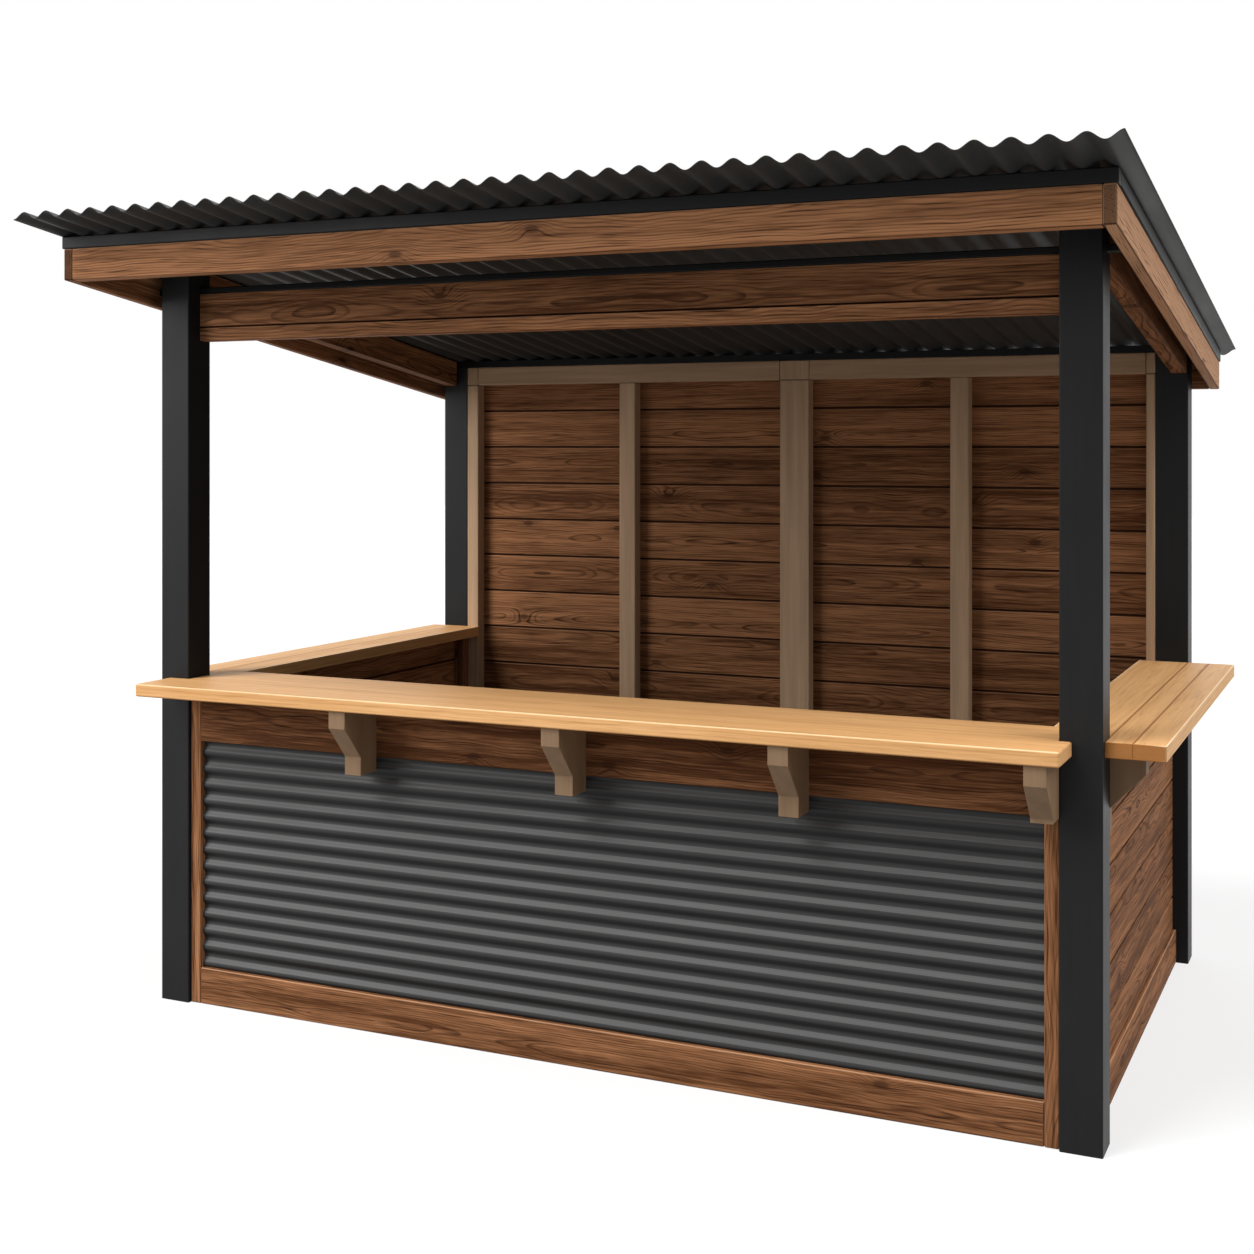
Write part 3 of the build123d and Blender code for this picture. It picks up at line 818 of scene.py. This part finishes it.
def taupe_finish(name, colours, kind):
    """Matt taupe paint brushed along the grain: the grain shows faintly, edges are paler and joints dark."""
    finish = Finish(name)
    if kind == "solid":
        across, through, along = finish.split(finish.node("ShaderNodeTexCoord", out="Object"))
        scaled = [item * BRACKET_TONE_WAVES for item in (across, through, along)]
        tone = finish.noise(finish.vector(*scaled)) - 0.5
        # The brackets take a darker copy of the taupe paint: painted shade under the counters
        thin, full = colours.shaded_bracket_dark, colours.shaded_bracket_light
    else:
        along, across, through = finish.split(finish.attribute("grain"))
        tone = finish.attribute("tone", out="Fac") * 0.22
        thin, full = colours.taupe_dark, colours.taupe_light
    place = (along, across, through)
    fibre = finish.grain(place, BRUSHED_FIBRE_WAVES, 3.0, 0.6)
    streak = finish.grain(place, BRUSHED_STREAK_WAVES, 3.0)
    coat = (streak - 0.5) * 1.3 + (fibre - 0.5) * 0.7 + tone + 0.5
    paint = finish.mix(coat, thin, full)
    if kind != "solid":
        ends, rim = rim_distances(finish)
        paint = finish.mix((1 - finish.step(rim, *PAINTED_EDGE)) * 0.25, paint, colours.taupe_edge)
        paint = finish.mix((1 - finish.step(ends, *PAINTED_END)) * 0.6, paint, colours.taupe_joint)
    finish.set(
        Base_Color=paint,
        Roughness=(fibre - 0.5) * 0.2 + 0.66,
        Normal=finish.bump(fibre + streak * 0.5, 0.25, 0.0005),
        Specular_IOR_Level=0.3,
    )
    return finish.material


def coated_finish(name, coat, colours):
    """A dark satin coat: faint drawn-out mottling of its colour and gloss, and a fine orange-peel bump.

    Where a highlight colour is given, it is a painted highlight on the band of each wave that faces upwards,
    with a fainter painted shoulder. A backing colour coats the inner face of a sheet.
    """
    finish = Finish(name)
    places = finish.split(finish.node("ShaderNodeTexCoord", out="Object"))
    drawn = [item * BRUSH_WAVES[0 if axis == coat.grain_axis else 1] for axis, item in enumerate(places)]
    mottle = finish.noise(finish.vector(*[item * MOTTLE_WAVES for item in places]), 3.0)
    brush = finish.noise(finish.vector(*drawn), 3.0, 0.6)
    peel = finish.noise(finish.vector(*[item * PEEL_WAVES for item in places]), 1.0)
    cloud = (mottle - 0.5) * 1.2 + (brush - 0.5) * 0.8 + 0.5

    def mottled(shade):
        full = getattr(colours, shade)
        return finish.mix(cloud, full, tuple(part * coat.lift for part in full))

    paint = mottled(coat.shade)
    if coat.backing:
        paint = finish.mix(finish.attribute("outer", out="Fac"), mottled(coat.backing), paint)
    # Painted highlight: a faint painted shoulder, then a bright band with a slight dip, on each wave's upward
    # slope
    if coat.rubbed:
        rubbed = getattr(colours, coat.rubbed)
        band = finish.attribute("band", out="Fac") + (brush - 0.5) * BAND_WAVER
        paint = finish.mix(finish.step(band, *BAND_SHOULDER) * 0.28, paint, rubbed)
        hollow = finish.step(band, *BAND_HOLLOW) * 0.22
        paint = finish.mix(finish.step(band, *BAND_EDGE) * (1 - hollow), paint, rubbed)
    finish.set(
        Base_Color=paint,
        Roughness=(mottle - 0.5) * 0.22 + (brush - 0.5) * 0.14 + coat.roughness,
        Normal=finish.bump(brush + peel * 0.4, coat.bump, 0.0004),
        Specular_IOR_Level=coat.sheen,
    )
    return finish.material


def finish_for(slot, kind="grained"):
    """The finish of a material slot, made when it is first asked for."""
    name = f"{slot}_{kind}"
    found = bpy.data.materials.get(name)
    if found:
        return found
    colours = bpy.context.scene.stall_colours
    if slot in TIMBERS:
        return timber_finish(name, TIMBERS[slot], colours)
    if slot in COATS:
        return coated_finish(name, COATS[slot], colours)
    return taupe_finish(name, colours, kind)


# Operators
class STALL_OT_posts(bpy.types.Operator):
    """Paint the four corner posts and the rear purlin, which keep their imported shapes"""

    bl_idname = "stall.posts"
    bl_label = "Posts"

    def execute(self, context):
        paint_nodes("black_post", [f"{row}_{side}_post" for row in ("front", "rear") for side, _ in SIDES])
        paint_nodes("black_trim", ["rear_purlin"])
        return {"FINISHED"}


class STALL_OT_brackets(bpy.types.Operator):
    """Paint the counter brackets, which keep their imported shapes"""

    bl_idname = "stall.brackets"
    bl_label = "Brackets"

    def execute(self, context):
        paint_nodes("taupe_timber", [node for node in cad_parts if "bracket" in node])
        return {"FINISHED"}


class STALL_OT_back_boards(bpy.types.Operator):
    """Build the level boards of the back wall"""

    bl_idname = "stall.back_boards"
    bl_label = "Back boards"

    def execute(self, context):
        sizes = context.scene.stall_sizes
        pitch = sizes.back_board_pitch
        shape = board_rows("back_boards", pitch, pitch, sizes.board_gap, 0, sizes, seed=11, edge_light_share=INNER_EDGE_LIGHT)
        add_piece("back_wall_boards", shape, "brown_timber", ["back_boards"])
        return {"FINISHED"}


class STALL_OT_side_boards(bpy.types.Operator):
    """Build the level boards of both side walls"""

    bl_idname = "stall.side_boards"
    bl_label = "Side boards"

    def execute(self, context):
        sizes = context.scene.stall_sizes
        for count, (side, _) in enumerate(SIDES):
            node = f"{side}_side_boards"
            pitch = sizes.side_board_pitch
            lowest = sizes.side_board_lowest
            seed = 31 + 2 * count
            shape = board_rows(node, lowest, pitch, sizes.board_gap, 1, sizes, seed, OUTER_EDGE_LIGHT)
            add_piece(f"{side}_wall_boards", shape, "brown_timber", [node])
        return {"FINISHED"}


class STALL_OT_wall_timbers(bpy.types.Operator):
    """Build the rails and stiles of the front wall, and the kick boards and battens of the sides"""

    bl_idname = "stall.wall_timbers"
    bl_label = "Wall timbers"

    def execute(self, context):
        # The top rail's dark tone is painted shade from the counter above it
        plan = {"front_bottom_rail": Lie(0, tone=-0.3), "front_top_rail": Lie(0, tone=-1.5)}
        for side, _ in SIDES:
            plan[f"front_{side}_stile"] = Lie(2, tone=0.0)
            plan[f"{side}_kick_board"] = Lie(1)
            plan[f"{side}_wall_batten"] = Lie(2)
        add_bars(plan, "brown_timber", context.scene.stall_sizes.timber_arris, 51, "timber")
        return {"FINISHED"}


class STALL_OT_back_frame(bpy.types.Operator):
    """Build the taupe studs, plates, sole and blocks of the back wall"""

    bl_idname = "stall.back_frame"
    bl_label = "Back frame"

    def execute(self, context):
        arris = context.scene.stall_sizes.timber_arris
        plan = {"back_sole_plate": Lie(0), "back_centre_stud": Lie(2, tone=1.0)}
        for side, _ in SIDES:
            plan[f"back_{side}_corner_stud"] = Lie(2, tone=1.2)
            plan[f"back_{side}_middle_stud"] = Lie(2, tone=1.1)
            plan[f"back_{side}_top_plate"] = Lie(0, tone=0.0)
        add_bars(plan, "taupe_timber", arris, 71, "timber")
        low, high = box("back_plate_blocks")
        under = ("back_left_corner_stud", "back_centre_stud", "back_right_corner_stud")
        count = len(under)
        ranges = np.array([[corner[0] for corner in box(stud)] for stud in under])
        start = np.tile((0, (low[1] + high[1]) / 2, low[2]), (count, 1))
        start[:, 0] = ranges.mean(axis=1)
        along = np.tile((0, 0, high[2] - low[2]), (count, 1))
        across = np.zeros((count, 3))
        across[:, 0] = ranges[:, 1] - ranges[:, 0]
        up = np.tile((0, high[1] - low[1], 0), (count, 1))
        shape = bars(start, along, across, up, arris, 81)
        add_piece("back_plate_blocks_timber", shape, "taupe_timber", ["back_plate_blocks"])
        return {"FINISHED"}


class STALL_OT_header(bpy.types.Operator):
    """Build the two boards of the header beam and the black strip on top of it"""

    bl_idname = "stall.header"
    bl_label = "Header"

    def execute(self, context):
        sizes = context.scene.stall_sizes
        low, high = box("header_beam")
        lower, gap = sizes.header_lower, sizes.header_gap
        upper = high[2] - low[2] - lower
        # Painted light and shade: the lower board is paler as if lit, the upper one darker as if shaded by
        # the roof
        tones = np.array((0.5, -0.6))
        shape = board_rows("header_beam", lower, upper, gap, 0, sizes, 91, INNER_EDGE_LIGHT, tones)
        add_piece("header_boards", shape, "brown_timber", ["header_beam"])
        add_bars({"header_cap_strip": Lie(0)}, "black_trim", sizes.trim_arris, 95, "strip")
        return {"FINISHED"}


class STALL_OT_roof_timbers(bpy.types.Operator):
    """Build the fascias, the rake boards and the beams beside them"""

    bl_idname = "stall.roof_timbers"
    bl_label = "Roof timbers"

    def execute(self, context):
        plan = {
            # The front fascia's pale tone is painted light that lifts the shade of the roof sheet's overhang
            "front_fascia": Lie(0, falls=True, plumb_foot=True, tone=1.3, rift=0.08),
            "rear_fascia": Lie(0, falls=True),
        }
        for side, sign in SIDES:
            # The rakes' tones differ by side as painted light: the right rake is paled as if strongly lit
            # from the right
            plan[f"{side}_rake_board"] = Lie(1, falls=True, tone=1.1 + 0.8 * sign)
            plan[f"{side}_side_beam"] = Lie(1, falls=True, tone=-0.3)
        add_bars(plan, "brown_timber", context.scene.stall_sizes.timber_arris, 101, "timber")
        return {"FINISHED"}


class STALL_OT_roof_trim(bpy.types.Operator):
    """Build the black trim that runs round the roof on top of the fascias and rakes"""

    bl_idname = "stall.roof_trim"
    bl_label = "Roof trim"

    def execute(self, context):
        plan = {"front_roof_trim": Lie(0, falls=True), "rear_roof_trim": Lie(0, falls=True)}
        for side, _ in SIDES:
            plan[f"{side}_roof_trim"] = Lie(1, falls=True)
        add_bars(plan, "black_trim", context.scene.stall_sizes.trim_arris, 121, "strip")
        return {"FINISHED"}


class STALL_OT_front_counter(bpy.types.Operator):
    """Build the front counter, notched round both front posts"""

    bl_idname = "stall.front_counter"
    bl_label = "Front counter"

    def execute(self, context):
        sizes = context.scene.stall_sizes
        low, high = box("front_counter")
        post_front = box("front_left_post")[0][1]
        inner_left = box("front_left_post")[1][0]
        inner_right = box("front_right_post")[0][0]
        corners = (
            (low[0], low[1]),
            (high[0], low[1]),
            (high[0], post_front),
            (inner_right, post_front),
            (inner_right, high[1]),
            (inner_left, high[1]),
            (inner_left, post_front),
            (low[0], post_front),
        )
        outline = rounded_outline(corners, sizes.counter_corner)
        shape = slab(outline, low[2], high[2], sizes.counter_arris, 0, 131, end_cut=False)
        add_piece("front_counter_plank", shape, "oak_counter", ["front_counter"])
        return {"FINISHED"}


class STALL_OT_side_counters(bpy.types.Operator):
    """Build both side counters from planks: two on the left, three on the right beside its front post"""

    bl_idname = "stall.side_counters"
    bl_label = "Side counters"

    def execute(self, context):
        sizes = context.scene.stall_sizes
        butt = box("front_counter")[1][1]
        for side, sign in SIDES:
            low, high = box(f"{side}_counter")
            post_low, post_high = box(f"front_{side}_post")
            inner, outer = sorted(abs(edge) for edge in (low[0], high[0]))
            post_inner, post_outer = sorted(abs(edge) for edge in (post_low[0], post_high[0]))
            near, far, post_back = low[1], high[1], post_high[1]
            beside_post = near < post_back - sizes.board_gap
            seams = [post_outer, outer - sizes.outer_plank] if beside_post else [(inner + outer) / 2]
            planks = [
                (
                    (post_inner, post_back),
                    (seams[0], post_back),
                    (seams[0], far),
                    (inner, far),
                    (inner, butt),
                    (post_inner, butt),
                )
            ]
            for start, stop in zip(seams, seams[1:] + [outer]):
                planks.append(((start, near), (stop, near), (stop, far), (start, far)))
            shapes = []
            for count, corners in enumerate(planks):
                corners = np.array(corners) * (sign, 1)
                outline = rounded_outline(corners[::sign], sizes.seam_arris)
                seed = 141 + 10 * sign + count
                shapes.append(slab(outline, low[2], high[2], sizes.seam_arris, 1, seed, seams))
            add_piece(f"{side}_counter_planks", join(*shapes), "oak_counter", [f"{side}_counter"])
        return {"FINISHED"}


class STALL_OT_roof_sheet(bpy.types.Operator):
    """Build the corrugated roof sheet, its waves running down the slope"""

    bl_idname = "stall.roof_sheet"
    bl_label = "Roof sheet"

    def execute(self, context):
        sizes = context.scene.stall_sizes
        low, high = box("roof_sheet")
        size = high - low
        drop = FALL * size[1]
        depth = size[2] - drop
        origin = (low[0], low[1], high[2] - depth / 2)
        waves = (sizes.roof_half_waves, depth, sizes.sheet_gauge)
        shape = corrugated(origin, (size[0], 0, 0), (0, size[1], -drop), (0, 0, 1), *waves)
        add_piece("roof_sheet_waves", shape, "roof_sheet", ["roof_sheet"], SHARP_ANGLE)
        return {"FINISHED"}


class STALL_OT_front_panel(bpy.types.Operator):
    """Build the corrugated front panel, its waves lying level"""

    bl_idname = "stall.front_panel"
    bl_label = "Front panel"

    def execute(self, context):
        sizes = context.scene.stall_sizes
        low, high = box("front_corrugated_panel")
        size = high - low
        origin = (low[0], (low[1] + high[1]) / 2, low[2])
        waves = (sizes.panel_half_waves, size[1], sizes.sheet_gauge)
        shape = corrugated(origin, (0, 0, size[2]), (size[0], 0, 0), (0, -1, 0), *waves)
        add_piece("front_panel_waves", shape, "panel_sheet", ["front_corrugated_panel"], SHARP_ANGLE)
        return {"FINISHED"}


class STALL_OT_stage(bpy.types.Operator):
    """Set up the pale floor, the white surroundings, the lights and the camera"""

    bl_idname = "stall.stage"
    bl_label = "Stage"

    def execute(self, context):
        scene = context.scene
        studio = scene.stall_studio
        scene.view_settings.view_transform = "Standard"
        self.floor(studio, scene.stall_colours)
        self.surroundings(studio)
        for kind in ("key", "fill", "back"):
            self.lamp(f"soft_{kind}", *getattr(studio, kind))
        self.front_light(studio)
        self.camera(studio)
        return {"FINISHED"}

    def seen_white(self, tree):
        """One for the rays that see the background as white: from the camera, reflected or let through."""
        path = tree.nodes.new("ShaderNodeLightPath")
        camera, glossy, passed = (
            Value(tree, path.outputs[f"Is {kind} Ray"]) for kind in ("Camera", "Glossy", "Transmission")
        )
        return camera.most(glossy).most(passed)

    def floor(self, studio, colours):
        mesh = bpy.data.meshes.new("studio_floor")
        corners = [(x * FLOOR_REACH, y * FLOOR_REACH, 0) for x, y in ((-1, -1), (1, -1), (1, 1), (-1, 1))]
        mesh.from_pydata(corners, [], [(0, 1, 2, 3)])
        floor = bpy.data.objects.new("studio_floor", mesh)
        bpy.context.scene.collection.objects.link(floor)
        finish = Finish("studio_floor")
        finish.set(Base_Color=colours.floor_pale, Roughness=0.9, Specular_IOR_Level=0.0)
        seen = self.seen_white(finish.tree)
        glow = finish.node("ShaderNodeEmission", sockets={"Strength": seen * studio.floor_glow})
        shader = Value(finish.tree, finish.shader.outputs[0])
        both = finish.node("ShaderNodeAddShader", sockets={0: shader, 1: glow})
        feed(finish.tree, finish.tree.nodes["Material Output"].inputs["Surface"], both)
        mesh.materials.append(finish.material)

    def surroundings(self, studio):
        world = bpy.data.worlds.new("studio_white")
        world.use_nodes = True
        bpy.context.scene.world = world
        tree = world.node_tree
        seen = self.seen_white(tree)
        background = tree.nodes["Background"]
        background.inputs["Color"].default_value = (1.0, 1.0, 1.0, 1.0)
        feed(tree, background.inputs["Strength"], seen * (1.0 - studio.ambient) + studio.ambient)

    def lamp(self, name, strength, softness, height, turn):
        """A broad far light that stands at a height above the horizon, turned from the stall's front."""
        light = bpy.data.lights.new(name, "SUN")
        light.energy = strength
        light.angle = radians(softness)
        lamp = bpy.data.objects.new(name, light)
        bpy.context.scene.collection.objects.link(lamp)
        lamp.rotation_euler = (radians(90.0 - height), 0.0, radians(turn))

    def front_light(self, studio):
        """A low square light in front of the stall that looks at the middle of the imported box."""
        light = bpy.data.lights.new("soft_front", "AREA")
        light.energy = studio.front_power
        light.size = studio.front_size
        lamp = bpy.data.objects.new("soft_front", light)
        bpy.context.scene.collection.objects.link(lamp)
        lamp.location = studio.front_place
        aim = Vector(np.mean(CAD_BOX, axis=0)) - lamp.location
        lamp.rotation_euler = aim.to_track_quat("-Z", "Y").to_euler()

    def camera(self, studio):
        camera_data = bpy.data.cameras.new("portrait")
        camera_data.lens = studio.lens
        camera_data.sensor_width = SENSOR_WIDTH
        camera_data.shift_y = studio.rise
        camera = bpy.data.objects.new("portrait", camera_data)
        bpy.context.scene.collection.objects.link(camera)
        camera.location = studio.camera_place
        camera.rotation_euler = (radians(90.0), 0.0, radians(studio.camera_turn))
        bpy.context.scene.camera = camera


OPERATORS = (
    STALL_OT_posts,
    STALL_OT_brackets,
    STALL_OT_back_boards,
    STALL_OT_side_boards,
    STALL_OT_wall_timbers,
    STALL_OT_back_frame,
    STALL_OT_header,
    STALL_OT_roof_timbers,
    STALL_OT_roof_trim,
    STALL_OT_front_counter,
    STALL_OT_side_counters,
    STALL_OT_roof_sheet,
    STALL_OT_front_panel,
    STALL_OT_stage,
)


class STALL_PT_pieces(bpy.types.Panel):
    """Lists the pieces of the stall in the order in which they are built"""

    bl_label = "Market stall"
    bl_idname = "STALL_PT_pieces"
    bl_space_type = "VIEW_3D"
    bl_region_type = "UI"
    bl_category = "Stall"

    def draw(self, context):
        column = self.layout.column()
        for operator in OPERATORS:
            column.operator(operator.bl_idname)


GROUPS = {
    "stall_sizes": StallSizes,
    "stall_colours": StallColours,
    "stall_studio": StallStudio,
}
CLASSES = (*GROUPS.values(), *OPERATORS, STALL_PT_pieces)


def register():
    for item in CLASSES:
        bpy.utils.register_class(item)
    for name, group in GROUPS.items():
        setattr(bpy.types.Scene, name, PointerProperty(type=group))


def unregister():
    for name in GROUPS:
        delattr(bpy.types.Scene, name)
    for item in reversed(CLASSES):
        bpy.utils.unregister_class(item)


def main():
    register()
    for operator in OPERATORS:
        getattr(bpy.ops.stall, operator.bl_idname.split(".")[1])()


if __name__ == "__main__":
    main()
